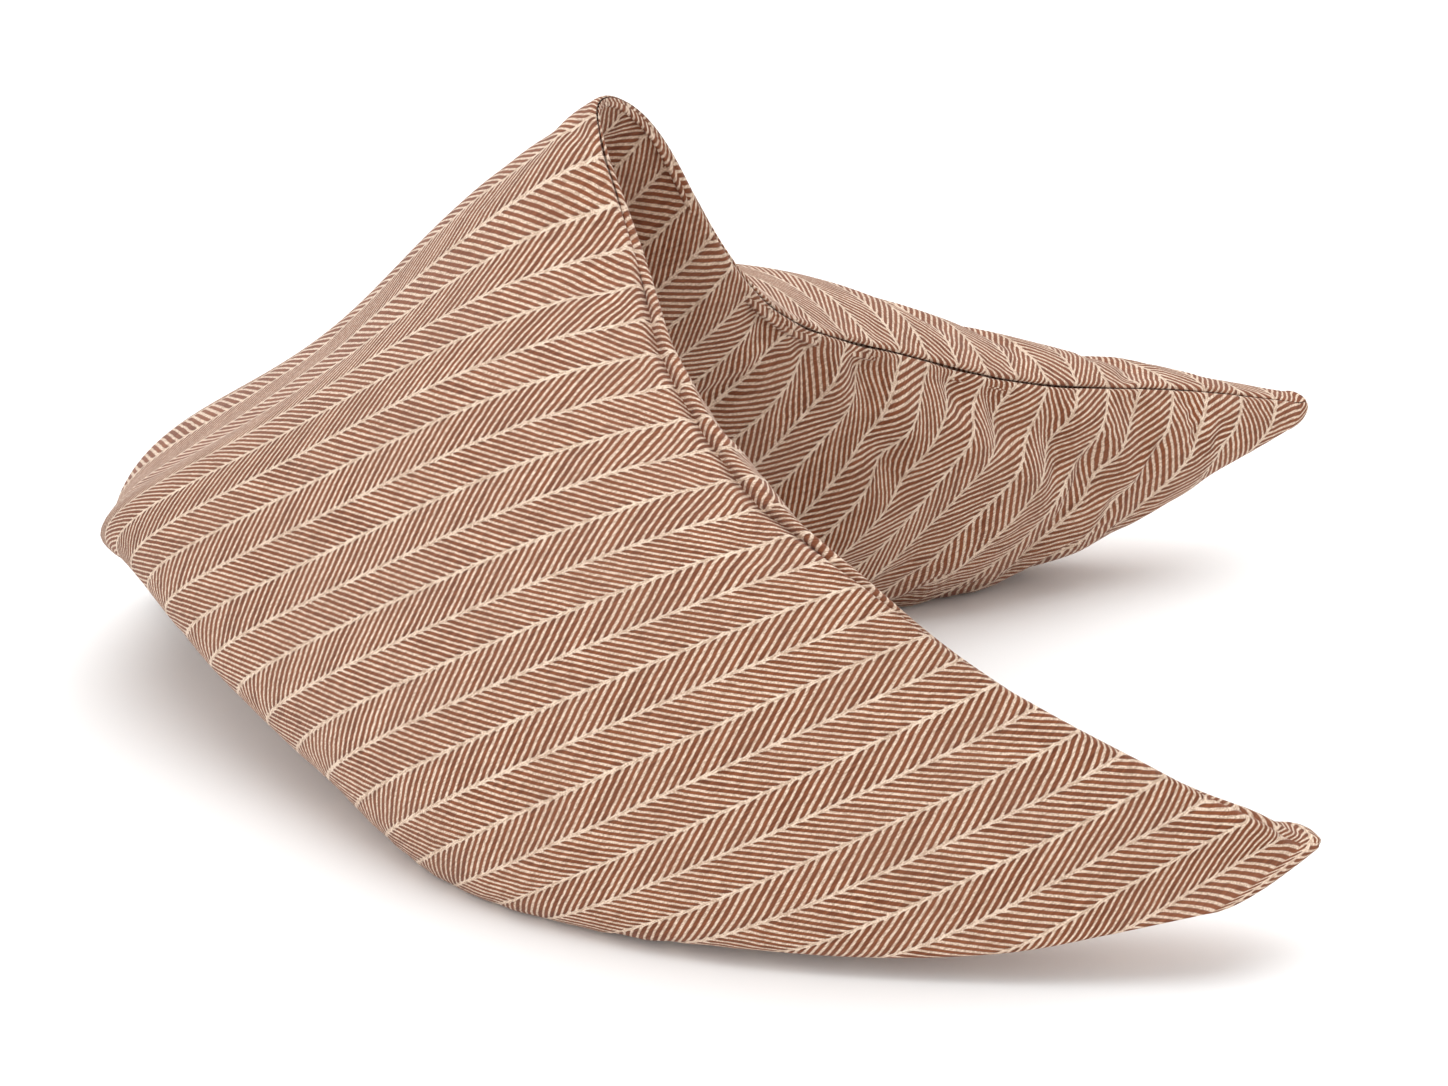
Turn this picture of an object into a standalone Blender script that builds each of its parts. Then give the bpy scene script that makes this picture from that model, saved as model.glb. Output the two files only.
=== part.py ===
"""Crescent pillow, folded in half about its middle and standing on its long convex edge.

Two mirrored crescent panels are seamed together all round and filled, so the pillow is one
filled solid. It is lofted through lens-shaped sections. Each section follows one row of the
cloth, from the long convex seam on the floor up to the short inner seam.
Units are metres, +Z is up, the opening of the fold faces +X.
"""
import bpy
import numpy as np

# Half the length of the flat pillow, tip to tip.
HALF_LENGTH = 0.534

# How finely the cloth is divided.
STATIONS = 79
STEPS_PER_PANEL = 34
TIP_CROWDING = 0.35

# The last section, and the rounded end that closes the pillow beyond it.
TIP_AT = 0.982
BACK_TIP_LENGTH = 0.009
FRONT_TIP_LENGTH = 0.015
TIP_RINGS = 4

# The seam is pulled in between the two panels, and the panels round over beside it.
SEAM_DEPTH = 0.003
ROUNDNESS = 1.2
HOLLOW_WIDTH = 6

# The table's heights are of the cushion before its weight presses it this far into the floor.
# FLOOR_SOFTNESS rounds the edge of the part that lies flat.
FLOOR = 0.007
FLOOR_SOFTNESS = 0.003

# One row per section of the pillow, back tip first.
# along: place along the length, -1 back tip, 0 the fold, 1 front tip.
# inner_*: the seam of the short concave edge. outer_*: the seam of the long convex edge.
# out, under: crown of the outer panel and of the panel inside the fold.
# tilt: degrees the outer crown leans towards the inner seam.
# low: how far the outer crown sits towards the convex edge (positive) or the other.
# hollow: how much of the outer crown is missing in the middle, where the cloth is pulled tight.
COLUMNS = ("along", "inner_x", "inner_y", "inner_z", "outer_x", "outer_y", "outer_z",
           "out", "under", "tilt", "low", "hollow")
SECTIONS = (
    (-1.00, 0.542, 0.250, 0.078, 0.542, 0.250, 0.078, 0.008, 0.004, 3, -0.2, 0),
    (-0.85, 0.477, 0.203, 0.096, 0.360, 0.205, 0.008, 0.039, 0.047, 1, -0.5, 0),
    (-0.68, 0.415, 0.148, 0.112, 0.206, 0.184, 0.006, 0.052, 0.080, 4, -0.43, 0),
    (-0.50, 0.356, 0.096, 0.139, 0.102, 0.163, 0.020, 0.065, 0.075, -2, -0.27, 0),
    (-0.34, 0.315, 0.038, 0.170, 0.035, 0.127, 0.022, 0.063, 0.028, -9, -0.05, 0),
    (-0.20, 0.288, -0.004, 0.222, 0.016, 0.098, 0.025, 0.052, 0.028, -17, 0.35, 0.1),
    (-0.09, 0.267, -0.028, 0.270, 0.022, 0.074, 0.027, 0.047, 0.006, -22, 0.54, 0.38),
    (0.00, 0.254, -0.067, 0.282, 0.040, 0.053, 0.034, 0.058, 0.014, -24, 0.64, 0.56),
    (0.09, 0.271, -0.102, 0.249, 0.055, 0.025, 0.043, 0.080, 0.024, -25, 0.42, 0.36),
    (0.20, 0.293, -0.152, 0.218, 0.086, -0.008, 0.042, 0.092, 0.040, -27, 0.29, 0.23),
    (0.34, 0.327, -0.209, 0.188, 0.129, -0.061, 0.030, 0.091, 0.050, -30, 0.24, 0.24),
    (0.50, 0.375, -0.262, 0.160, 0.186, -0.127, 0.012, 0.077, 0.053, -31, 0.19, 0),
    (0.68, 0.432, -0.271, 0.119, 0.247, -0.198, 0.003, 0.063, 0.046, -30, 0.22, 0),
    (0.85, 0.502, -0.254, 0.076, 0.365, -0.245, 0.020, 0.050, 0.032, -35, 0.42, 0),
    (0.94, 0.536, -0.242, 0.055, 0.474, -0.245, 0.035, 0.043, 0.024, -37, 0.5, 0),
    (1.00, 0.555, -0.238, 0.048, 0.555, -0.238, 0.048, 0.038, 0.018, -40, 0.1, 0),
)


# Soft hollows (or humps, with a depth below zero) where the filling gives way.
# side: 1 outer panel, -1 panel inside the fold. along: as above.
# around: place across the panel, 0 convex seam, 1 inner seam.
# long, wide, depth: half length along the pillow, half width across it, and depth in metres.
DENT_COLUMNS = ("side", "along", "around", "long", "wide", "depth")
DENTS = (
    (-1, -0.31, 0.86, 0.016, 0.030, 0.004),
    (-1, -0.39, 0.74, 0.014, 0.045, -0.003),
    (-1, -0.48, 0.80, 0.014, 0.050, 0.004),
    (-1, -0.57, 0.72, 0.015, 0.045, -0.003),
    (-1, -0.66, 0.80, 0.016, 0.040, 0.005),
    (-1, -0.73, 0.66, 0.014, 0.030, -0.002),
    (-1, -0.80, 0.74, 0.014, 0.030, 0.004),
    (1, -0.47, 0.90, 0.022, 0.020, 0.004),
    (1, -0.64, 0.90, 0.022, 0.020, 0.004),
    (1, -0.80, 0.90, 0.018, 0.014, 0.002),
    (1, 0.16, 0.94, 0.012, 0.012, 0.002),
    (1, 0.02, 0.30, 0.020, 0.030, 0.003),
)


def clear_scene():
    for obj in list(bpy.data.objects):
        bpy.data.objects.remove(obj, do_unlink=True)


def spline(knots, values, places):
    """Natural cubic spline through (knots, values), read at places."""
    count = len(knots)
    gap = np.diff(knots)
    slope = np.diff(values, axis=0) / gap[:, None]
    system = np.eye(count)
    right = np.zeros_like(values)
    for i in range(1, count - 1):
        system[i, i - 1] = gap[i - 1]
        system[i, i] = 2.0 * (gap[i - 1] + gap[i])
        system[i, i + 1] = gap[i]
        right[i] = 6.0 * (slope[i] - slope[i - 1])
    bend = np.linalg.solve(system, right)
    i = np.clip(np.searchsorted(knots, places, side="right") - 1, 0, count - 2)
    after = (places - knots[i])[:, None]
    width = gap[i][:, None]
    first = slope[i] - width * (2.0 * bend[i] + bend[i + 1]) / 6.0
    third = (bend[i + 1] - bend[i]) / (6.0 * width)
    return values[i] + after * (first + after * (bend[i] / 2.0 + after * third))


def table():
    rows = np.array(SECTIONS)
    return {name: rows[:, k] for k, name in enumerate(COLUMNS)}


def sections(places):
    """Seam points, crown directions and crown heights at these places along the length."""
    column = table()
    knots = column["along"]
    values = np.array(SECTIONS)[:, 1:]
    here = spline(knots, values, places)
    step = 1e-3
    ahead = spline(knots, values, np.minimum(places + step, 1.0))
    behind = spline(knots, values, np.maximum(places - step, -1.0))
    inner = here[:, 0:3]
    outer = here[:, 3:6]
    middle_run = (ahead[:, 0:3] + ahead[:, 3:6]) - (behind[:, 0:3] + behind[:, 3:6])
    chord = inner - outer
    outward = np.cross(middle_run, chord)
    outward /= np.linalg.norm(outward, axis=1)[:, None]
    along_chord = chord / np.linalg.norm(chord, axis=1)[:, None]
    tilt = np.radians(here[:, 8])[:, None]
    crown_way = outward * np.cos(tilt) + along_chord * np.sin(tilt)
    return inner, outer, crown_way, outward, here[:, 6], here[:, 7], here[:, 9], here[:, 10]


def panel_profile(low, hollow):
    """Chord fraction and crown fraction from the convex seam to the inner seam."""
    turn = np.linspace(0.0, np.pi, STEPS_PER_PANEL + 1)
    across = (1.0 - np.cos(turn)) / 2.0
    crown = np.sin(turn) ** ROUNDNESS - hollow[:, None] * np.sin(turn) ** HOLLOW_WIDTH
    lean = 1.0 + low[:, None] * np.cos(np.pi * across)
    return across, crown * lean


def settle(points):
    """Press the pillow on the floor: what would go under it lies flat on it."""
    height = points[..., 2] - FLOOR
    soft = FLOOR_SOFTNESS
    above = np.where(height > soft, height, (height + soft) ** 2 / (4.0 * soft))
    points[..., 2] = FLOOR + np.where(height < -soft, 0.0, above)
    return points


def dents(side, places, width):
    """How deep this panel is pressed in at each place and each step around it."""
    around = np.linspace(0.0, 1.0, STEPS_PER_PANEL + 1)
    depth = np.zeros((len(places), len(around)))
    for row in DENTS:
        dent = dict(zip(DENT_COLUMNS, row))
        if dent["side"] != side:
            continue
        along = (places - dent["along"])[:, None] * HALF_LENGTH / dent["long"]
        across = (around - dent["around"])[None, :] * width[:, None] / dent["wide"]
        depth += dent["depth"] * np.exp(-along ** 2 - across ** 2)
    return depth * np.sin(np.pi * around) ** 0.5


def panels(places):
    """The outer and the under panel, a row of points across the width at each place."""
    inner, outer, crown_way, outward, out, under, low, hollow = sections(places)
    chord = inner - outer
    across, outer_crown = panel_profile(low, hollow)
    _, under_crown = panel_profile(0.0 * low, 0.0 * hollow)
    width = np.linalg.norm(chord, axis=1)
    base = outer[:, None, :] + across[None, :, None] * chord[:, None, :]
    outer_rise = out[:, None] * outer_crown - dents(1, places, width)
    under_rise = under[:, None] * under_crown - dents(-1, places, width)
    outside = base + outer_rise[:, :, None] * crown_way[:, None, :]
    inside = base - under_rise[:, :, None] * outward[:, None, :]
    way = chord / width[:, None]
    dip = np.minimum(SEAM_DEPTH, 0.1 * width)[:, None]
    outside[:, 0] += dip * way
    outside[:, -1] -= dip * way
    inside[:, 0] = outside[:, 0]
    inside[:, -1] = outside[:, -1]
    return outside, inside


def tip_rings(last, before, length):
    """Shrinking rings that round the end off beyond the last ring."""
    centre = last.mean(axis=0)
    onward = centre - before.mean(axis=0)
    onward /= np.linalg.norm(onward)
    turns = np.linspace(0.0, 0.5 * np.pi, TIP_RINGS + 2)[1:-1]
    rings = [centre + (last - centre) * np.cos(turn) + onward * length * np.sin(turn) for turn in turns]
    return rings, centre + onward * length


def pillow_rings():
    """Closed rings of points from the back tip to the front tip, and the point that ends each tip."""
    even = np.linspace(-1.0, 1.0, STATIONS)
    places = TIP_AT * ((1.0 - TIP_CROWDING) * even + TIP_CROWDING * np.sin(0.5 * np.pi * even))
    outside, inside = panels(places)
    rings = list(np.concatenate([outside, inside[:, -2:0:-1]], axis=1))
    back, back_end = tip_rings(rings[0], rings[1], BACK_TIP_LENGTH)
    front, front_end = tip_rings(rings[-1], rings[-2], FRONT_TIP_LENGTH)
    return np.array(back[::-1] + rings + front), back_end, front_end


def build_pillow():
    rings, back_end, front_end = pillow_rings()
    rings = settle(rings)
    count, around, _ = rings.shape
    points = [tuple(p) for p in rings.reshape(-1, 3)]
    faces = []
    for i in range(count - 1):
        for j in range(around):
            k = (j + 1) % around
            faces.append((i * around + j, (i + 1) * around + j, (i + 1) * around + k, i * around + k))
    last = (count - 1) * around
    points += [tuple(back_end), tuple(front_end)]
    for j in range(around):
        k = (j + 1) % around
        faces.append((last + around, j, k))
        faces.append((last + around + 1, last + k, last + j))
    low = np.array(points).min(axis=0)
    high = np.array(points).max(axis=0)
    centre = (low + high) / 2.0
    moved = [(x - centre[0], y - centre[1], z - low[2]) for x, y, z in points]
    mesh = bpy.data.meshes.new("crescent_pillow")
    mesh.from_pydata(moved, [], faces)
    mesh.validate()
    mesh.polygons.foreach_set("use_smooth", [True] * len(mesh.polygons))
    mesh.update()
    return bpy.data.objects.new("crescent_pillow", mesh)


def cloth_material():
    material = bpy.data.materials.new("herringbone_cloth")
    material.use_nodes = True
    shader = material.node_tree.nodes["Principled BSDF"]
    shader.inputs["Base Color"].default_value = (0.51, 0.35, 0.28, 1.0)
    shader.inputs["Roughness"].default_value = 0.9
    return material


def main():
    clear_scene()
    group = bpy.data.collections.new("crescent_pillow")
    bpy.context.scene.collection.children.link(group)
    pillow = build_pillow()
    pillow.data.materials.append(cloth_material())
    group.objects.link(pillow)


main()
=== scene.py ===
"""Looks of the crescent pillow: its padded cloth, herringbone weave, floor, light and camera."""

import bpy
import numpy as np
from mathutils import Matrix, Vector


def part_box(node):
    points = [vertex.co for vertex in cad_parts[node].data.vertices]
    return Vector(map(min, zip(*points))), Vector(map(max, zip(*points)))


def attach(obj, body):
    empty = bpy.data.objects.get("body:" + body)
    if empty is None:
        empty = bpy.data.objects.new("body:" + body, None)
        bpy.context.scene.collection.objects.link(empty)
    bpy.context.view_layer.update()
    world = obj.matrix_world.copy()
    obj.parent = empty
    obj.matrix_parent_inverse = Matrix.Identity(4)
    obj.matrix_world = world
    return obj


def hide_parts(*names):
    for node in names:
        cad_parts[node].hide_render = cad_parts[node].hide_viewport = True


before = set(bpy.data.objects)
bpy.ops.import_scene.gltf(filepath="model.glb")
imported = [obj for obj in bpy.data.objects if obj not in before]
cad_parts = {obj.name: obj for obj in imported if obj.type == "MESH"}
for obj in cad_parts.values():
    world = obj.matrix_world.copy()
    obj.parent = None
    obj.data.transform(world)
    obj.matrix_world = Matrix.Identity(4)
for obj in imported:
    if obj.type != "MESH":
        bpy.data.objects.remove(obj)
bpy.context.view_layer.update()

# The CAD part's named sizes and tables, repeated here: the cloth is the same form, divided finer.
# SECTIONS is in large part the rounded output of scratch fits to points read off the photo, and so
# is FRONT_TIP_LENGTH.
HALF_LENGTH = 0.534
TIP_CROWDING = 0.35
TIP_AT = 0.982
NEARBY = 1e-3
BACK_TIP_LENGTH = 0.009
FRONT_TIP_LENGTH = 0.015
SEAM_DEPTH = 0.003
ROUNDNESS = 1.2
HOLLOW_WIDTH = 6
FLOOR = 0.007
FLOOR_SOFTNESS = 0.003
COLUMNS = ("along", "inner_x", "inner_y", "inner_z", "outer_x", "outer_y", "outer_z",
           "out", "under", "tilt", "low", "hollow")
SECTIONS = (
    (-1.00, 0.542, 0.250, 0.078, 0.542, 0.250, 0.078, 0.008, 0.004, 3, -0.2, 0),
    (-0.85, 0.477, 0.203, 0.096, 0.360, 0.205, 0.008, 0.039, 0.047, 1, -0.5, 0),
    (-0.68, 0.415, 0.148, 0.112, 0.206, 0.184, 0.006, 0.052, 0.080, 4, -0.43, 0),
    (-0.50, 0.356, 0.096, 0.139, 0.102, 0.163, 0.020, 0.065, 0.075, -2, -0.27, 0),
    (-0.34, 0.315, 0.038, 0.170, 0.035, 0.127, 0.022, 0.063, 0.028, -9, -0.05, 0),
    (-0.20, 0.288, -0.004, 0.222, 0.016, 0.098, 0.025, 0.052, 0.028, -17, 0.35, 0.1),
    (-0.09, 0.267, -0.028, 0.270, 0.022, 0.074, 0.027, 0.047, 0.006, -22, 0.54, 0.38),
    (0.00, 0.254, -0.067, 0.282, 0.040, 0.053, 0.034, 0.058, 0.014, -24, 0.64, 0.56),
    (0.09, 0.271, -0.102, 0.249, 0.055, 0.025, 0.043, 0.080, 0.024, -25, 0.42, 0.36),
    (0.20, 0.293, -0.152, 0.218, 0.086, -0.008, 0.042, 0.092, 0.040, -27, 0.29, 0.23),
    (0.34, 0.327, -0.209, 0.188, 0.129, -0.061, 0.030, 0.091, 0.050, -30, 0.24, 0.24),
    (0.50, 0.375, -0.262, 0.160, 0.186, -0.127, 0.012, 0.077, 0.053, -31, 0.19, 0),
    (0.68, 0.432, -0.271, 0.119, 0.247, -0.198, 0.003, 0.063, 0.046, -30, 0.22, 0),
    (0.85, 0.502, -0.254, 0.076, 0.365, -0.245, 0.020, 0.050, 0.032, -35, 0.42, 0),
    (0.94, 0.536, -0.242, 0.055, 0.474, -0.245, 0.035, 0.043, 0.024, -37, 0.5, 0),
    (1.00, 0.555, -0.238, 0.048, 0.555, -0.238, 0.048, 0.038, 0.018, -40, 0.1, 0),
)
DENT_COLUMNS = ("side", "along", "around", "long", "wide", "depth")
DENTS = (
    (-1, -0.31, 0.86, 0.016, 0.030, 0.004),
    (-1, -0.39, 0.74, 0.014, 0.045, -0.003),
    (-1, -0.48, 0.80, 0.014, 0.050, 0.004),
    (-1, -0.57, 0.72, 0.015, 0.045, -0.003),
    (-1, -0.66, 0.80, 0.016, 0.040, 0.005),
    (-1, -0.73, 0.66, 0.014, 0.030, -0.002),
    (-1, -0.80, 0.74, 0.014, 0.030, 0.004),
    (1, -0.47, 0.90, 0.022, 0.020, 0.004),
    (1, -0.64, 0.90, 0.022, 0.020, 0.004),
    (1, -0.80, 0.90, 0.018, 0.014, 0.002),
    (1, 0.16, 0.94, 0.012, 0.012, 0.002),
    (1, 0.02, 0.30, 0.020, 0.030, 0.003),
)

# How finely the cloth is divided here, and for its simulation.
STATIONS = 461
STEPS = 82
TIP_RINGS = 7
SIM_STATIONS = 201
SIM_STEPS = 38

# The simulation: the filling's pressure, how much too big the cloth is cut, its stiffness to
# bending, its frames, how near the floor it is held, how broad a swelling is left out (metres
# along the length and steps around), the most that a point may move from the CAD form, and how
# far its wrinkles stay from the tips (a part of the length) and from a seam (metres).
PRESSURE = 4.0
SURPLUS = 0.03
BENDING = 0.2
FRAMES = 16
HELD_ABOVE_FLOOR = 0.0008
WRINKLE_REACH = 0.030
WRINKLE_STEPS = 4.0
MOST_MOVED = 0.0040
WRINKLE_FREE_TIP = 0.12
WRINKLE_FREE_SEAM = 0.010

# How much of its wrinkles each part keeps: on the outer panel, how much more of them there at the
# inner seam, and on the under panel. The halves change over within MIDDLE_REACH of the length, and
# the under panel loses FOLD_CALM of them at the top of the fold, over FOLD_REACH of the length.
KEPT_COLUMNS = ("outer", "more_at_seam", "under")
KEPT_BACK = (0.5, 0.1, 1.0)
KEPT_FRONT = (0.2, 0.4, 0.7)
SEAM_POWER = 6
MIDDLE_REACH = 0.2
FOLD_CALM = 0.6
FOLD_REACH = 0.15

# The flat cloth, for the weave: half its length at the back and at the front, how far the tips lie
# from the middle of the convex edge, its width at the middle, and how round the convex edge is.
# The last three come from the first of those fits.
FLAT_BACK = 0.538
FLAT_FRONT = 0.532
FLAT_OUTER = 0.495
FLAT_INNER = 0.3916
FLAT_NARROWING = 0.962

# Where the seams lie on the filled form: how far each is drawn towards the outer panel, in metres.
# The dip of the seam's first place fades out over SEAM_DIP_ENDS of the length.
SEAM_DIP_ENDS = 0.12
SEAM_COLUMNS = ("along", "inner_seam", "convex_seam")
SEAM_MOVES = (
    (-1.00, 0.000, 0.000),
    (0.13, 0.000, 0.000),
    (0.22, 0.005, 0.000),
    (0.42, 0.007, 0.000),
    (0.52, -0.002, 0.000),
    (0.62, -0.008, 0.000),
    (0.80, -0.009, -0.004),
    (0.90, -0.007, -0.011),
    (0.97, 0.000, -0.008),
    (1.00, 0.000, -0.008),
)

# Soft folds of the loosely filled back half, as seen in the photo, and one fuller place at the
# front tip: the panel (1 outer, -1 under, 0 both and the seam between them), the place along the
# length, the distance from the inner seam, half the length and half the width of the fold, the
# way it runs (degrees from the length towards the seam) and its depth. A fold of one panel fades
# out within FOLD_FREE_SEAM of the seam.
FOLD_FREE_SEAM = 0.006
FOLD_COLUMNS = ("side", "along", "from_seam", "long", "wide", "turn", "depth")
FOLDS = (
    (-1, -0.34, 0.014, 0.020, 0.008, 28, 0.0055),
    (-1, -0.395, 0.013, 0.018, 0.007, 45, 0.0055),
    (-1, -0.44, 0.024, 0.024, 0.010, 35, -0.0040),
    (-1, -0.48, 0.015, 0.020, 0.009, 40, 0.0075),
    (-1, -0.52, 0.030, 0.032, 0.011, 40, -0.0050),
    (-1, -0.556, 0.054, 0.024, 0.010, 30, 0.0080),
    (-1, -0.60, 0.016, 0.019, 0.009, 45, 0.0075),
    (-1, -0.63, 0.036, 0.024, 0.010, 40, -0.0045),
    (-1, -0.665, 0.024, 0.024, 0.010, 40, 0.0090),
    (-1, -0.70, 0.046, 0.022, 0.009, 45, -0.0035),
    (-1, -0.735, 0.036, 0.023, 0.009, 48, 0.0085),
    (-1, -0.80, 0.050, 0.023, 0.009, 40, 0.0075),
    (1, -0.575, 0.050, 0.028, 0.009, -55, 0.0030),
    (1, -0.675, 0.042, 0.024, 0.009, -65, 0.0030),
    (1, -0.81, 0.036, 0.022, 0.008, -65, 0.0025),
    (0, 0.935, 0.000, 0.018, 0.014, 0, -0.0030),
)

# The weave: width of a herringbone row, where the first spine lies, the pitch of its lines along
# the row, how much further a line runs along the row than across it, half the width of a brown
# line and of the cream spine, the length of one float of the brown yarn, and which part of the
# pitch lies square to the lines.
ROW = 0.020
FIRST_SPINE = 0.006
PITCH = 0.0045
SLANT = 1.15
BROWN_HALF = 0.00092
SPINE_HALF = 0.0007
FLOAT = 0.0009
SQUARE_PART = 1.0 / np.hypot(1.0, SLANT)

# What makes the weave look like real yarn: how far it wanders along and across the cloth, and
# over what (the noise's scale, per metre), how much the lines differ in width, how soft their
# edges are, how the floats slant and start, where their gaps lie (parts of a float) and how deep
# the gaps bite into a line.
WANDER_ALONG, WANDER_ALONG_SCALE = 0.0007, 70.0
WANDER_ACROSS, WANDER_ACROSS_SCALE = 0.0010, 170.0
WIDTH_VARIES = 0.00016
EDGE_SOFT = 0.00016
FLOAT_SLANT = 0.55
FLOAT_STARTS = 7.0
GAP_FROM, GAP_TO = 0.02, 0.22
GAP_BITE = 0.00022

# The yarns' colours, linear, and how much of each is mixed in where it applies.
BROWN_DYE_1 = (0.250, 0.077, 0.032, 1.0)
BROWN_DYE_2 = (0.165, 0.049, 0.021, 1.0)
# A painted highlight, mixed into brown floats picked at random.
BROWN_HIGHLIGHT, BROWN_HIGHLIGHT_PART = (0.38, 0.132, 0.060, 1.0), 0.6
# Painted shade, mixed into the brown yarn in the gaps between its floats.
BROWN_GAP_SHADE, BROWN_GAP_SHADE_PART = (0.070, 0.026, 0.015, 1.0), 0.85
BROWN_END, BROWN_END_PART = (0.10, 0.040, 0.024, 1.0), 0.45
BROWN_END_FROM, BROWN_END_TO = 0.0004, 0.0022
CREAM_DARK = (0.51, 0.355, 0.255, 1.0)
CREAM_LIGHT = (0.86, 0.69, 0.545, 1.0)
# Painted shade, mixed into the cream yarn where the brown floats have their gaps.
CREAM_GAP_SHADE, CREAM_GAP_SHADE_PART = (0.44, 0.30, 0.22, 1.0), 0.30
CREAM_BY_STITCH = 0.4
GRAIN_SCALE = 1500.0
CLOUD, CLOUD_PART, CLOUD_SCALE = (0.30, 0.16, 0.105, 1.0), 0.16, 28.0

# The cloth's surface: its finish, and the relief of the floats on the ground.
FINISH = (
    ("Roughness", 0.92),
    ("Specular IOR Level", 0.12),
    ("Sheen Weight", 0.14),
    ("Sheen Roughness", 0.45),
)
RELIEF = (("Distance", 0.00035), ("Strength", 0.8))
RELIEF_OF_GAP = 0.5
RELIEF_OF_GRAIN = 0.35

# Sewing: the crease along the seam, and the soft roll of the seam allowance beside it. Both are
# less where the panel is narrower than CREASE_ROOM, at the top of the fold and near the tips.
CREASE_DEPTH = 0.0048
CREASE_HALF = 0.0021
ROLL_HEIGHT = 0.0010
ROLL_AT = 0.0052
ROLL_HALF = 0.0030
CREASE_ROOM, CREASE_IN_NARROW = 0.06, 0.2
CREASE_TOP_REACH, CREASE_LOST_AT_TOP = 0.07, 0.5
CREASE_TIP_REACH, CREASE_AT_TIP = 0.08, 0.3

# How much of its width the flat cloth keeps at the very ends of the tips.
TIP_WIDTH_KEPT = 0.25

# Floor, lights (name, place, size and power, all aimed at one point) and the photo's camera.
FLOOR_REACH = 5.0
FLOOR_COLOUR = (0.95, 0.95, 0.95, 1.0)
FLOOR_FINISH = (("Roughness", 0.8), ("Specular IOR Level", 0.2))
WORLD_STRENGTH = 0.86
LIGHT_AIM = (0.0, 0.0, 0.1)
LIGHTS = (
    ("above", (0.0, 0.7, 2.4), 4.0, 56.0),
    ("front", (-0.6, -2.6, 0.5), 2.0, 23.0),
)
CAMERA_PLACE = (0.5645, -1.7837, 0.6675)
CAMERA_TURN = (71.895, 0.0, 8.594)
CAMERA_LENS = 109.75
CAMERA_SENSOR = 36.0


def spline(knots, values, places):
    """Natural cubic spline through (knots, values), read at places."""
    count = len(knots)
    gap = np.diff(knots)
    slope = np.diff(values, axis=0) / gap[:, None]
    system = np.eye(count)
    right = np.zeros_like(values)
    for i in range(1, count - 1):
        system[i, i - 1] = gap[i - 1]
        system[i, i] = 2.0 * (gap[i - 1] + gap[i])
        system[i, i + 1] = gap[i]
        right[i] = 6.0 * (slope[i] - slope[i - 1])
    bend = np.linalg.solve(system, right)
    i = np.clip(np.searchsorted(knots, places, side="right") - 1, 0, count - 2)
    after = (places - knots[i])[:, None]
    width = gap[i][:, None]
    first = slope[i] - width * (2.0 * bend[i] + bend[i + 1]) / 6.0
    third = (bend[i + 1] - bend[i]) / (6.0 * width)
    return values[i] + after * (first + after * (bend[i] / 2.0 + after * third))


def unit(vectors):
    return vectors / np.maximum(np.linalg.norm(vectors, axis=-1), 1e-12)[..., None]


def bell(distance, reach):
    """1 at no distance, falling to nothing past the reach."""
    return np.exp(-(distance / reach) ** 2)


def panel_steps(steps):
    """Parts of the way across a panel, closer together towards its seams."""
    return (1.0 - np.cos(np.linspace(0.0, np.pi, steps + 1))) / 2.0


def sections(places):
    """Seam points, crown directions and crown heights at these places along the length."""
    knots = np.array(SECTIONS)[:, 0]
    values = np.array(SECTIONS)[:, 1:]
    here = spline(knots, values, places)
    column = dict(zip(COLUMNS[1:], here.T))
    ahead = spline(knots, values, np.minimum(places + NEARBY, 1.0))
    behind = spline(knots, values, np.maximum(places - NEARBY, -1.0))
    inner = here[:, 0:3]
    outer = here[:, 3:6]
    middle_run = (ahead[:, 0:3] + ahead[:, 3:6]) - (behind[:, 0:3] + behind[:, 3:6])
    chord = inner - outer
    outward = unit(np.cross(middle_run, chord))
    tilt = np.radians(column["tilt"])[:, None]
    crown_way = outward * np.cos(tilt) + unit(chord) * np.sin(tilt)
    sizes = [column[name] for name in ("out", "under", "low", "hollow")]
    return inner, outer, crown_way, outward, *sizes


def panel_profile(low, hollow, steps):
    """Chord fraction and crown fraction from the convex seam to the inner seam."""
    turn = np.linspace(0.0, np.pi, steps + 1)
    across = panel_steps(steps)
    crown = np.sin(turn) ** ROUNDNESS - hollow[:, None] * np.sin(turn) ** HOLLOW_WIDTH
    lean = 1.0 + low[:, None] * np.cos(np.pi * across)
    return across, crown * lean


def dents(side, places, width, steps):
    """How deep this panel is pressed in at each place and each step around it."""
    around = np.linspace(0.0, 1.0, steps + 1)
    depth = np.zeros((len(places), len(around)))
    for row in DENTS:
        dent = dict(zip(DENT_COLUMNS, row))
        if dent["side"] != side:
            continue
        along = (places - dent["along"])[:, None] * HALF_LENGTH / dent["long"]
        across = (around - dent["around"])[None, :] * width[:, None] / dent["wide"]
        depth += dent["depth"] * np.exp(-along ** 2 - across ** 2)
    return depth * np.sin(np.pi * around) ** 0.5


def panels(places, steps, seam_depth=SEAM_DEPTH):
    """The outer and the under panel, a row of points across the width at each place."""
    inner, outer, crown_way, outward, out, under, low, hollow = sections(places)
    chord = inner - outer
    across, outer_crown = panel_profile(low, hollow, steps)
    _, under_crown = panel_profile(0.0 * low, 0.0 * hollow, steps)
    width = np.linalg.norm(chord, axis=1)
    base = outer[:, None, :] + across[None, :, None] * chord[:, None, :]
    outer_rise = out[:, None] * outer_crown - dents(1, places, width, steps)
    under_rise = under[:, None] * under_crown - dents(-1, places, width, steps)
    outside = base + outer_rise[:, :, None] * crown_way[:, None, :]
    inside = base - under_rise[:, :, None] * outward[:, None, :]
    way = chord / width[:, None]
    dip = np.minimum(seam_depth, 0.1 * width)[:, None]
    outside[:, 0] += dip * way
    outside[:, -1] -= dip * way
    inside[:, 0] = outside[:, 0]
    inside[:, -1] = outside[:, -1]
    return outside, inside


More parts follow.
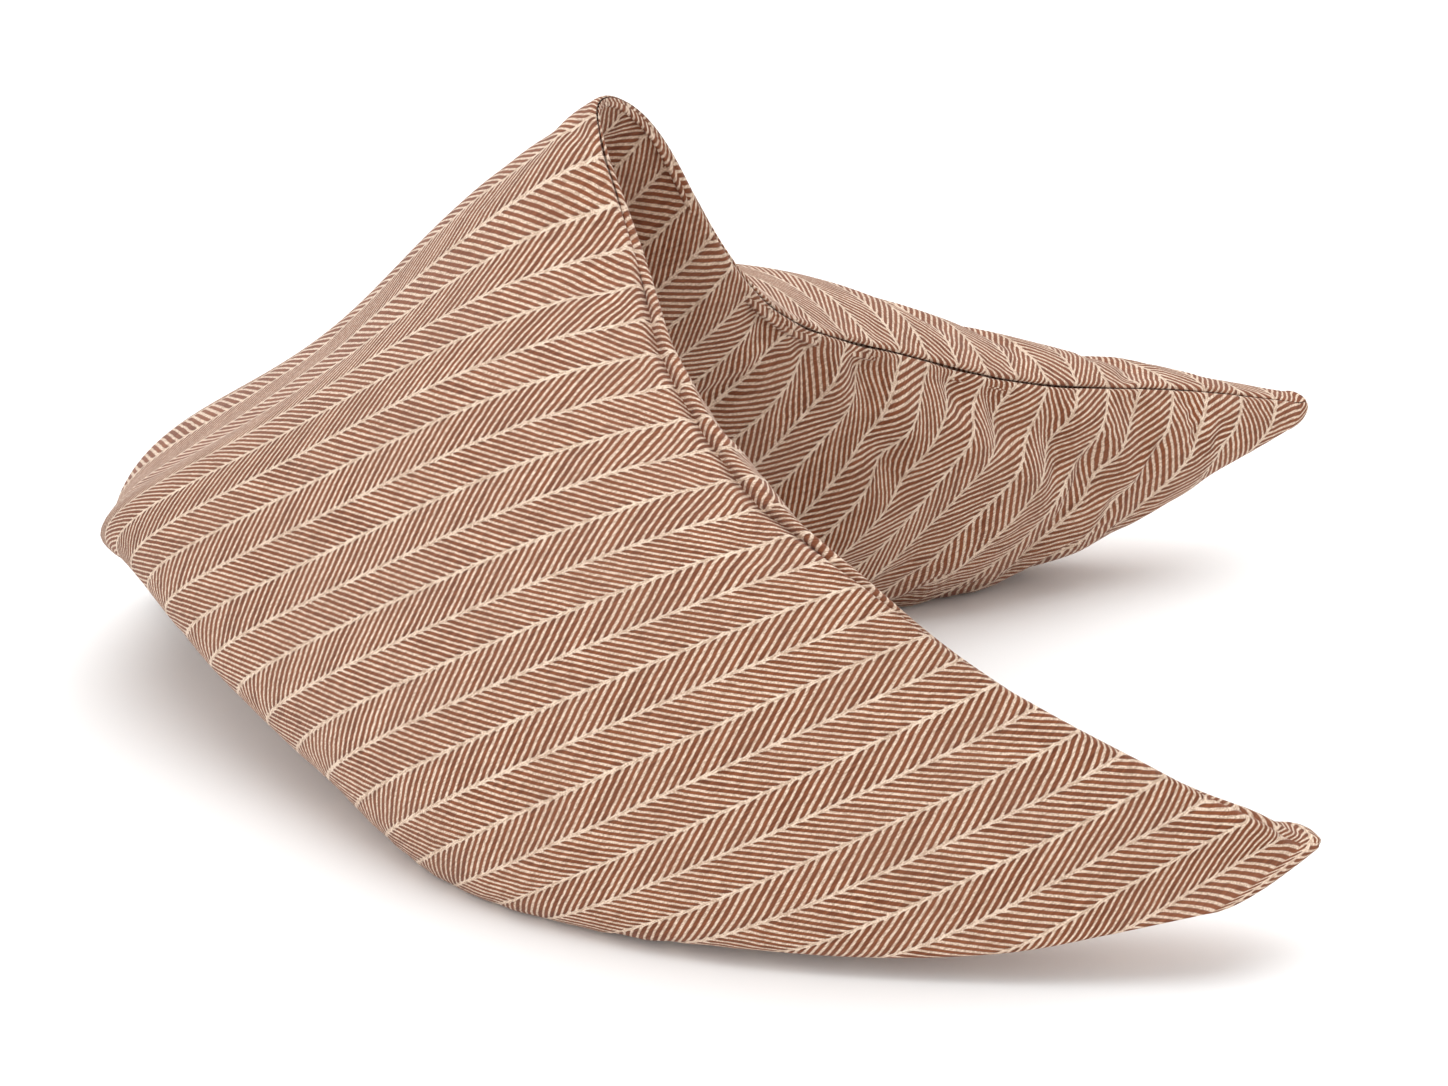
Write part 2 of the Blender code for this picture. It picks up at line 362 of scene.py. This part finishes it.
def settle(points):
    """Press the pillow on the floor: what would go under it lies flat on it."""
    height = points[..., 2] - FLOOR
    soft = FLOOR_SOFTNESS
    above = np.where(height > soft, height, (height + soft) ** 2 / (4.0 * soft))
    points[..., 2] = FLOOR + np.where(height < -soft, 0.0, above)
    return points


def spread(count):
    """Places of the stations, closer together towards the tips."""
    even = np.linspace(-1.0, 1.0, count)
    return TIP_AT * ((1.0 - TIP_CROWDING) * even + TIP_CROWDING * np.sin(0.5 * np.pi * even))


def run_across(points):
    """Arc length along each row of points, from its first point."""
    steps = np.linalg.norm(np.diff(points, axis=1), axis=2)
    return np.concatenate([np.zeros((len(points), 1)), np.cumsum(steps, axis=1)], axis=1)


def flat_cloth(places, run):
    """Where each point lies on the flat cloth: metres along it and across it."""
    half = np.where(places < 0.0, FLAT_BACK, FLAT_FRONT)
    length = places * half
    reach = places ** 2
    bow = 1.0 - np.sqrt(1.0 - FLAT_NARROWING)
    outer = FLAT_OUTER * (1.0 - np.sqrt(1.0 - FLAT_NARROWING * reach)) / bow
    inner = FLAT_INNER + (FLAT_OUTER - FLAT_INNER) * reach
    part = run / np.maximum(run[:, -1:], 1e-9)
    # Near the tips the filled panel is wider than the flat one, and the weave keeps its own size.
    wide = np.maximum(inner - outer, run[:, -1])
    across = ((outer + inner) / 2.0)[:, None] + wide[:, None] * (part - 0.5)
    return np.broadcast_to(length[:, None], across.shape), across


def move_seams(outside, inside, places, steps):
    """The same surface in this many steps, parted into its panels a little beside where it was."""
    column = dict(zip(SEAM_COLUMNS, np.array(SEAM_MOVES).T))
    fine = panel_steps(steps)
    inner_moves = np.interp(places, column["along"], column["inner_seam"])
    convex_moves = np.interp(places, column["along"], column["convex_seam"])
    outer_run, under_run = run_across(outside), run_across(inside)
    new_outside, new_inside = np.empty((2, len(places), steps + 1, 3))
    for i in range(len(places)):
        far, back = outer_run[i, -1], under_run[i, -1]
        around = far + back
        ring = np.concatenate([outside[i], inside[i, -2::-1]])
        marks = np.concatenate([outer_run[i], around - under_run[i, -2::-1]])
        start = convex_moves[i]
        turn = far - inner_moves[i]
        outer_marks = start + fine * (turn - start)
        under_marks = around + start - fine * (around + start - turn)
        for axis in range(3):
            line = ring[:, axis]
            new_outside[i, :, axis] = np.interp(outer_marks, marks, line, period=around)
            new_inside[i, :, axis] = np.interp(under_marks, marks, line, period=around)
    return new_outside, new_inside


def folds(side, places, run):
    """How deep the soft folds press this panel in, at each of its points."""
    depth = np.zeros(run.shape)
    from_seam = run[:, -1:] - run
    beside_seam = 1.0 - bell(from_seam, FOLD_FREE_SEAM)
    for row in FOLDS:
        fold = dict(zip(FOLD_COLUMNS, row))
        if fold["side"] not in (side, 0):
            continue
        along = (fold["along"] - places[:, None]) * HALF_LENGTH
        across = from_seam - fold["from_seam"]
        turn = np.radians(fold["turn"])
        lengthwise = along * np.cos(turn) + across * np.sin(turn)
        sideways = across * np.cos(turn) - along * np.sin(turn)
        shape = bell(lengthwise, fold["long"]) * bell(sideways, fold["wide"])
        depth += fold["depth"] * shape * (beside_seam if fold["side"] else 1.0)
    return depth


def normals_of(rings, places):
    """Outward normals of the rings, each in the plane of its own section."""
    inner, outer, _, outward, *_ = sections(places)
    onward = unit(np.cross(inner - outer, outward))
    around = np.roll(rings, -1, axis=1) - np.roll(rings, 1, axis=1)
    return unit(blurred(unit(np.cross(onward[:, None, :], around)), 1.5, 1, True))


def crease(from_seam):
    """Height of the cloth beside a seam: the crease itself and the soft roll next to it."""
    roll = ROLL_HEIGHT * bell(from_seam - ROLL_AT, ROLL_HALF)
    return roll - CREASE_DEPTH * bell(from_seam, CREASE_HALF)


def tip_rings(last, before, length):
    """Shrinking rings that round the end off beyond the last ring."""
    centre = last.mean(axis=0)
    onward = centre - before.mean(axis=0)
    onward /= np.linalg.norm(onward)
    turns = np.linspace(0.0, 0.5 * np.pi, TIP_RINGS + 2)[1:-1]
    rings = [
        centre + (last - centre) * np.cos(turn) + onward * length * np.sin(turn) for turn in turns
    ]
    return rings, centre + onward * length


def close_tips(rings):
    """The rings with the rounded ends added, and the point that ends each tip."""
    back, back_end = tip_rings(rings[0], rings[1], BACK_TIP_LENGTH)
    front, front_end = tip_rings(rings[-1], rings[-2], FRONT_TIP_LENGTH)
    return np.concatenate([np.array(back[::-1]), rings, np.array(front)]), back_end, front_end


def faces_of(count, around):
    """Quads between the rings, and the triangles that close both ends."""
    faces = []
    for i in range(count - 1):
        for j in range(around):
            k = (j + 1) % around
            here, ahead = i * around, (i + 1) * around
            faces.append((here + j, ahead + j, ahead + k, here + k))
    last = (count - 1) * around
    for j in range(around):
        k = (j + 1) % around
        faces.append((last + around, j, k))
        faces.append((last + around + 1, last + k, last + j))
    return faces


def join_panels(outside, inside):
    """One closed ring of points for each station, from the two panels' rows."""
    return np.concatenate([outside, inside[:, -2:0:-1]], axis=1)


def simulate(points, faces, held):
    """Where Blender's cloth simulation takes the points, with those in held kept in place."""
    mesh = bpy.data.meshes.new("simulated")
    mesh.from_pydata([tuple(p) for p in points], [], faces)
    piece = bpy.data.objects.new("simulated", mesh)
    bpy.context.scene.collection.objects.link(piece)
    group = piece.vertex_groups.new(name="held")
    group.add([int(index) for index in held], 1.0, "REPLACE")
    cloth = piece.modifiers.new("cloth", "CLOTH")
    cloth.settings.quality = 5
    cloth.settings.mass = 0.3
    cloth.settings.air_damping = 2.0
    cloth.settings.bending_stiffness = BENDING
    cloth.settings.use_pressure = True
    cloth.settings.uniform_pressure_force = PRESSURE
    cloth.settings.vertex_group_mass = "held"
    cloth.settings.shrink_min = -SURPLUS
    cloth.settings.effector_weights.gravity = 0.0
    cloth.collision_settings.use_collision = False
    cloth.point_cache.frame_start = 1
    cloth.point_cache.frame_end = FRAMES
    for number in range(1, FRAMES + 1):
        bpy.context.scene.frame_set(number)
    settled = piece.evaluated_get(bpy.context.evaluated_depsgraph_get()).to_mesh()
    moved = np.empty(len(settled.vertices) * 3)
    settled.vertices.foreach_get("co", moved)
    bpy.data.objects.remove(piece, do_unlink=True)
    bpy.data.meshes.remove(mesh)
    bpy.context.scene.frame_set(1)
    return moved.reshape(-1, 3)


def blurred(grid, reach, axis, wraps):
    """The grid smoothed over this many steps along one axis."""
    span = int(3 * reach)
    weights = np.exp(-0.5 * (np.arange(-span, span + 1) / reach) ** 2)
    weights /= weights.sum()
    total = np.zeros_like(grid)
    last = grid.shape[axis] - 1
    for shift, weight in zip(range(-span, span + 1), weights):
        index = np.arange(last + 1) + shift
        index = index % (last + 1) if wraps else np.clip(index, 0, last)
        total += weight * np.take(grid, index, axis=axis)
    return total


def finer(grid, count, around):
    """The grid of rings read at more stations and more points around, by splines."""
    rows, points, _ = grid.shape
    flat = grid.reshape(rows, -1)
    along = spline(np.linspace(0.0, 1.0, rows), flat, np.linspace(0.0, 1.0, count))
    turned = along.reshape(count, points, 3).transpose(1, 0, 2).reshape(points, -1)
    pad = 6
    knots = np.arange(-pad, points + pad) / points
    wrapped = turned[np.arange(-pad, points + pad) % points]
    ring = spline(knots, wrapped, np.arange(around) / around)
    return ring.reshape(around, count, 3).transpose(1, 0, 2)


def calmness(places, steps):
    """How much of its wrinkles each part keeps: the front half lies smooth, the inside wrinkles."""
    across = panel_steps(steps)[None, :]
    ahead = np.clip(places / MIDDLE_REACH + 0.5, 0.0, 1.0)[:, None]
    mixed = [back + (front - back) * ahead for back, front in zip(KEPT_BACK, KEPT_FRONT)]
    kept = dict(zip(KEPT_COLUMNS, mixed))
    outside = kept["outer"] + kept["more_at_seam"] * across ** SEAM_POWER
    top_of_fold = bell(places, FOLD_REACH)[:, None]
    inside = kept["under"] * (1.0 - FOLD_CALM * top_of_fold) * np.ones_like(across)
    return join_panels(outside[..., None], inside[..., None])


def wrinkles():
    """How the filled cloth wrinkles: what the simulation moves, without its broad swelling."""
    places = spread(SIM_STATIONS)
    rings = join_panels(*panels(places, SIM_STEPS))
    count, around, _ = rings.shape
    closed, back_end, front_end = close_tips(rings)
    closed = settle(closed)
    points = all_points(closed, back_end, front_end)
    on_seam = np.zeros(closed.shape[:2], dtype=bool)
    on_seam[:, 0] = True
    on_seam[:, SIM_STEPS] = True
    on_seam[:TIP_RINGS] = True
    on_seam[-TIP_RINGS:] = True
    on_floor = closed[..., 2] < FLOOR + HELD_ABOVE_FLOOR
    held = np.flatnonzero(np.append((on_seam | on_floor).ravel(), [True, True]))
    moved = simulate(points, faces_of(len(closed), around), held) - points
    grid = moved[:-2].reshape(closed.shape)[TIP_RINGS:-TIP_RINGS]
    station = 2.0 * HALF_LENGTH / SIM_STATIONS
    broad = blurred(grid, WRINKLE_REACH / station, 0, False)
    grid = grid - blurred(broad, WRINKLE_STEPS, 1, True)
    size = np.linalg.norm(grid, axis=2)[..., None]
    grid *= MOST_MOVED * np.tanh(size / MOST_MOVED) / np.maximum(size, 1e-9)
    fade = np.clip((1.0 - np.abs(places) / TIP_AT) / WRINKLE_FREE_TIP, 0.0, 1.0)
    grid *= (fade * fade * (3.0 - 2.0 * fade))[:, None, None] * calmness(places, SIM_STEPS)
    return finer(grid, STATIONS, 2 * STEPS)


def cloth_rings():
    """The cloth as closed rings, with the place of each point on the flat cloth for both panels."""
    places = spread(STATIONS)
    # Where a seam is moved, the surface starts without the dip that marks the seam's first place.
    seam_depth = SEAM_DEPTH * np.clip(1.0 - places / SEAM_DIP_ENDS, 0.0, 1.0)
    outside, inside = move_seams(*panels(places, 4 * STEPS, seam_depth), places, STEPS)
    runs = [run_across(outside), run_across(inside)]
    flats = [np.stack(flat_cloth(places, run), axis=2) for run in runs]
    rings = join_panels(outside, inside)
    from_seam = join_panels(*[np.minimum(run, run[:, -1:] - run) for run in runs])
    normals = normals_of(rings, places)
    folded = join_panels(
        *[folds(side, places, run)[..., None] for side, run in zip((1, -1), runs)]
    )
    along = places[:, None]
    fade = np.clip(runs[0][:, -1:] / CREASE_ROOM, CREASE_IN_NARROW, 1.0)
    fade = fade * (1.0 - CREASE_LOST_AT_TOP * bell(along, CREASE_TOP_REACH))
    fade = fade * np.clip((1.0 - np.abs(along)) / CREASE_TIP_REACH, CREASE_AT_TIP, 1.0)
    rings = rings + normals * ((crease(from_seam) * fade)[..., None] - folded)
    rings = rings + wrinkles() * (1.0 - bell(from_seam, WRINKLE_FREE_SEAM))[..., None]
    return rings, flats


def past_tips(flat):
    """A panel's places on the flat cloth, for the closed ring and the rounded ends."""
    ring = join_panels(flat, flat)
    turns = np.linspace(0.0, 0.5 * np.pi, TIP_RINGS + 2)[1:]
    beyond = np.sin(turns)[:, None, None] * np.array([1.0, 0.0])
    shrink = TIP_WIDTH_KEPT + (1.0 - TIP_WIDTH_KEPT) * np.cos(turns)[:, None, None]
    ends = []
    for edge, way in ((ring[0], -BACK_TIP_LENGTH), (ring[-1], FRONT_TIP_LENGTH)):
        centre = edge.mean(axis=0)
        length = (edge - centre) * np.array([1.0, 0.0])
        width = (edge - centre) * np.array([0.0, 1.0])
        ends.append(centre + width * shrink + way * beyond + length)
    back, front = ends
    flat_rings = np.concatenate([back[:-1][::-1], ring, front[:-1]])
    return flat_rings, back[-1].mean(axis=0), front[-1].mean(axis=0)


def all_points(rings, back_end, front_end):
    """The rings' points in one list, with the two points that end the tips."""
    return np.concatenate([rings.reshape(-1, rings.shape[-1]), back_end[None], front_end[None]])


def table_to_row(points):
    """The move from the tables' frame to the row frame, as the CAD part makes it."""
    low, high = points.min(axis=0), points.max(axis=0)
    box_low, box_high = (np.array(corner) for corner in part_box("crescent_pillow"))
    move = (box_low + box_high - low - high) / 2.0
    move[2] = box_low[2] - low[2]
    return move


def plain_move():
    """table_to_row for the plain form, before its wrinkles and crease."""
    rings, back_end, front_end = close_tips(join_panels(*panels(spread(STATIONS), STEPS)))
    return table_to_row(all_points(settle(rings), back_end, front_end))


def build_cloth(move):
    rings, flats = cloth_rings()
    rings, back_end, front_end = close_tips(rings)
    rings = settle(rings)
    count, around, _ = rings.shape
    points = all_points(rings, back_end, front_end) + move
    faces = faces_of(count, around)
    mesh = bpy.data.meshes.new("pillow_cloth")
    mesh.from_pydata([tuple(p) for p in points], [], faces)
    mesh.polygons.foreach_set("use_smooth", [True] * len(mesh.polygons))
    layer = mesh.uv_layers.new(name="cloth")
    outer_uv, under_uv = (all_points(*past_tips(flat)) for flat in flats)
    # The under panel is a mirrored piece, cut one row further along the cloth.
    under_uv = under_uv + np.array([ROW, 0.0])
    corners = np.empty(len(mesh.loops), dtype=np.int64)
    mesh.loops.foreach_get("vertex_index", corners)
    sizes = np.empty(len(mesh.polygons), dtype=np.int64)
    mesh.polygons.foreach_get("loop_total", sizes)
    first = np.tile(np.arange(around), count - 1)
    cap_first = np.repeat(np.arange(around), 2)
    on_under = np.concatenate([first, cap_first]) >= STEPS
    loop_under = np.repeat(on_under, sizes)
    uv = np.where(loop_under[:, None], under_uv[corners], outer_uv[corners])
    layer.data.foreach_set("uv", uv.astype(np.float32).ravel())
    mesh.update()
    piece = bpy.data.objects.new("pillow_cloth", mesh)
    bpy.context.scene.collection.objects.link(piece)
    return piece


class Graph:
    """Short ways to add shader nodes."""

    def __init__(self, material):
        material.use_nodes = True
        self.tree = material.node_tree
        self.shader = self.tree.nodes["Principled BSDF"]

    def node(self, kind, **settings):
        made = self.tree.nodes.new(kind)
        for name, value in settings.items():
            setattr(made, name, value)
        return made

    def put(self, value, socket):
        if isinstance(value, bpy.types.NodeSocket):
            self.tree.links.new(value, socket)
        else:
            socket.default_value = value

    def set(self, node, settings):
        for name, value in settings:
            node.inputs[name].default_value = value

    def math(self, operation, first, second=0.0, third=0.0):
        made = self.node("ShaderNodeMath", operation=operation)
        for value, socket in zip((first, second, third), made.inputs):
            self.put(value, socket)
        return made.outputs[0]

    def mix(self, factor, first, second):
        made = self.node("ShaderNodeMix", data_type="RGBA")
        self.put(factor, made.inputs[0])
        self.put(first, made.inputs[6])
        self.put(second, made.inputs[7])
        return made.outputs[2]

    def ramp(self, value, low, high, first=0.0, last=1.0):
        made = self.node("ShaderNodeMapRange", interpolation_type="SMOOTHSTEP")
        ends = (("From Min", low), ("From Max", high), ("To Min", first), ("To Max", last))
        self.set(made, ends)
        self.put(value, made.inputs["Value"])
        return made.outputs[0]

    def noise(self, vector, scale, detail=2.0):
        made = self.node("ShaderNodeTexNoise")
        self.put(vector, made.inputs["Vector"])
        self.set(made, (("Scale", scale), ("Detail", detail)))
        return made.outputs["Fac"]

    def chance(self, *numbers):
        """A random number from 0 to 1 that is the same wherever these two or three numbers are."""
        name = self.node("ShaderNodeCombineXYZ")
        for number, socket in zip(numbers, name.inputs):
            self.put(number, socket)
        made = self.node("ShaderNodeTexWhiteNoise", noise_dimensions=f"{len(numbers)}D")
        self.put(name.outputs[0], made.inputs["Vector"])
        return made.outputs["Value"]


def herringbone_cloth():
    """Brown yarn over cream in herringbone rows, from the place on the flat cloth alone."""
    material = bpy.data.materials.new("herringbone_cloth")
    g = Graph(material)
    uv = g.node("ShaderNodeUVMap", uv_map="cloth").outputs[0]
    parts = g.node("ShaderNodeSeparateXYZ")
    g.put(uv, parts.inputs[0])
    wander_across = g.math("SUBTRACT", g.noise(uv, WANDER_ACROSS_SCALE), 0.5)
    wander_along = g.math("SUBTRACT", g.noise(uv, WANDER_ALONG_SCALE), 0.5)
    u = g.math("MULTIPLY_ADD", wander_along, WANDER_ALONG, parts.outputs[0])
    v = g.math("MULTIPLY_ADD", wander_across, WANDER_ACROSS, parts.outputs[1])

    # Which row, which line in it, and where in the line: beside its middle and along it.
    rows = g.math("DIVIDE", g.math("SUBTRACT", u, FIRST_SPINE), ROW)
    row = g.math("FLOOR", rows)
    odd = g.math("FLOORED_MODULO", row, 2.0)
    slant = g.math("MULTIPLY", g.math("PINGPONG", rows, 1.0), ROW)
    lines = g.math("DIVIDE", g.math("MULTIPLY_ADD", slant, SLANT, v), PITCH)
    lines = g.math("MULTIPLY_ADD", odd, 0.5, lines)
    line = g.math("FLOOR", lines)
    from_middle = g.math("SUBTRACT", g.math("SUBTRACT", lines, line), 0.5)
    aside = g.math("MULTIPLY", from_middle, PITCH * SQUARE_PART)
    part = g.math("SUBTRACT", rows, row)
    along = g.math("MULTIPLY", part, ROW / SQUARE_PART)
    to_spine = g.math("MULTIPLY", g.math("MINIMUM", part, g.math("SUBTRACT", 1.0, part)), ROW)
    by_line = g.chance(line, row)

    # The brown line has round ends at the spine, and its width differs from line to line.
    past_end = g.math("SUBTRACT", SPINE_HALF + BROWN_HALF, to_spine)
    past_end = g.math("MAXIMUM", past_end, 0.0)
    squares = g.math("ADD", g.math("POWER", aside, 2.0), g.math("POWER", past_end, 2.0))
    thick = g.math("MULTIPLY_ADD", by_line, WIDTH_VARIES, -WIDTH_VARIES / 2.0)
    reach = g.math("SUBTRACT", g.math("SQRT", squares), thick)

    # The brown yarn lies in short slanted floats, like the turns of a rope.
    turn = g.math("DIVIDE", along, FLOAT)
    turn = g.math("ADD", turn, g.math("MULTIPLY", aside, FLOAT_SLANT / BROWN_HALF))
    turn = g.math("ADD", turn, g.math("MULTIPLY", by_line, FLOAT_STARTS))
    between = g.ramp(g.math("PINGPONG", turn, 0.5), GAP_FROM, GAP_TO, 1.0, 0.0)
    reach = g.math("ADD", reach, g.math("MULTIPLY", between, GAP_BITE))
    brown = g.ramp(reach, BROWN_HALF - EDGE_SOFT, BROWN_HALF + EDGE_SOFT, 1.0, 0.0)
    by_stitch = g.chance(line, row, g.math("FLOOR", turn))

    # The brown yarn's dye differs by line. Painted highlights lighten floats picked at random,
    # painted shade darkens the gaps between floats, and the yarn is dark at its ends.
    dye_and_painted_light = g.mix(by_line, BROWN_DYE_1, BROWN_DYE_2)
    dye_and_painted_light = g.mix(g.math("MULTIPLY", by_stitch, BROWN_HIGHLIGHT_PART), dye_and_painted_light, BROWN_HIGHLIGHT)
    dye_and_painted_light = g.mix(g.math("MULTIPLY", between, BROWN_GAP_SHADE_PART), dye_and_painted_light, BROWN_GAP_SHADE)
    end_from, end_to = SPINE_HALF + BROWN_END_FROM, SPINE_HALF + BROWN_END_TO
    dye_and_painted_light = g.mix(g.ramp(to_spine, end_from, end_to, BROWN_END_PART, 0.0), dye_and_painted_light, BROWN_END)

    # The cream yarn is mottled, and painted shade darkens it a little where the floats have gaps.
    grain = g.noise(uv, GRAIN_SCALE, 1.0)
    mottle = g.math("MULTIPLY_ADD", g.math("SUBTRACT", by_stitch, 0.5), CREAM_BY_STITCH, grain)
    cream = g.mix(g.ramp(mottle, 0.3, 0.7), CREAM_DARK, CREAM_LIGHT)
    cream = g.mix(g.math("MULTIPLY", between, CREAM_GAP_SHADE_PART), cream, CREAM_GAP_SHADE)

    # Over both lies a faint cloudy shade.
    cloudy = g.ramp(g.noise(uv, CLOUD_SCALE, 3.0), 0.3, 0.7, 0.0, CLOUD_PART)
    g.put(g.mix(cloudy, g.mix(brown, cream, dye_and_painted_light), CLOUD), g.shader.inputs["Base Color"])
    g.set(g.shader, FINISH)

    # Relief: the brown floats stand up from the cream ground.
    hill = g.math("SUBTRACT", 1.0, g.math("MULTIPLY", between, RELIEF_OF_GAP))
    height = g.math("MULTIPLY_ADD", grain, RELIEF_OF_GRAIN, g.math("MULTIPLY", brown, hill))
    bump = g.node("ShaderNodeBump")
    g.set(bump, RELIEF)
    g.put(height, bump.inputs["Height"])
    g.put(bump.outputs[0], g.shader.inputs["Normal"])
    return material


def build_floor():
    mesh = bpy.data.meshes.new("floor")
    corners = [(x * FLOOR_REACH, y * FLOOR_REACH, 0.0)
               for x, y in ((-1, -1), (1, -1), (1, 1), (-1, 1))]
    mesh.from_pydata(corners, [], [(0, 1, 2, 3)])
    floor = bpy.data.objects.new("floor", mesh)
    bpy.context.scene.collection.objects.link(floor)
    material = bpy.data.materials.new("floor")
    g = Graph(material)
    g.set(g.shader, (("Base Color", FLOOR_COLOUR), *FLOOR_FINISH))
    mesh.materials.append(material)
    return floor


def area_light(name, place, size, power):
    """A round light at this place, turned towards LIGHT_AIM."""
    light = bpy.data.lights.new(name, "AREA")
    light.shape = "DISK"
    light.size = size
    light.energy = power
    lamp = bpy.data.objects.new(name, light)
    lamp.location = place
    way = np.array(LIGHT_AIM) - np.array(place)
    flat = np.hypot(way[0], way[1])
    lamp.rotation_euler = (np.arctan2(flat, -way[2]), 0.0, np.arctan2(-way[0], way[1]))
    bpy.context.scene.collection.objects.link(lamp)


def light_scene():
    world = bpy.data.worlds.new("studio")
    bpy.context.scene.world = world
    world.use_nodes = True
    ground = world.node_tree.nodes["Background"]
    ground.inputs["Color"].default_value = (1.0, 1.0, 1.0, 1.0)
    ground.inputs["Strength"].default_value = WORLD_STRENGTH
    for row in LIGHTS:
        area_light(*row)
    view = bpy.context.scene.view_settings
    view.view_transform = "Standard"
    view.look = "None"


def place_camera(move):
    """The photo's camera, in the tables' frame: its numbers come from the first fit of the form."""
    data = bpy.data.cameras.new("photo_view")
    data.lens = CAMERA_LENS
    data.sensor_width = CAMERA_SENSOR
    camera = bpy.data.objects.new("photo_view", data)
    camera.location = np.array(CAMERA_PLACE) + move
    camera.rotation_euler = tuple(np.radians(CAMERA_TURN))
    bpy.context.scene.collection.objects.link(camera)
    bpy.context.scene.camera = camera


move = plain_move()
cloth = build_cloth(move)
cloth.data.materials.append(herringbone_cloth())
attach(cloth, "root")
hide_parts("crescent_pillow")
build_floor()
light_scene()
place_camera(move)
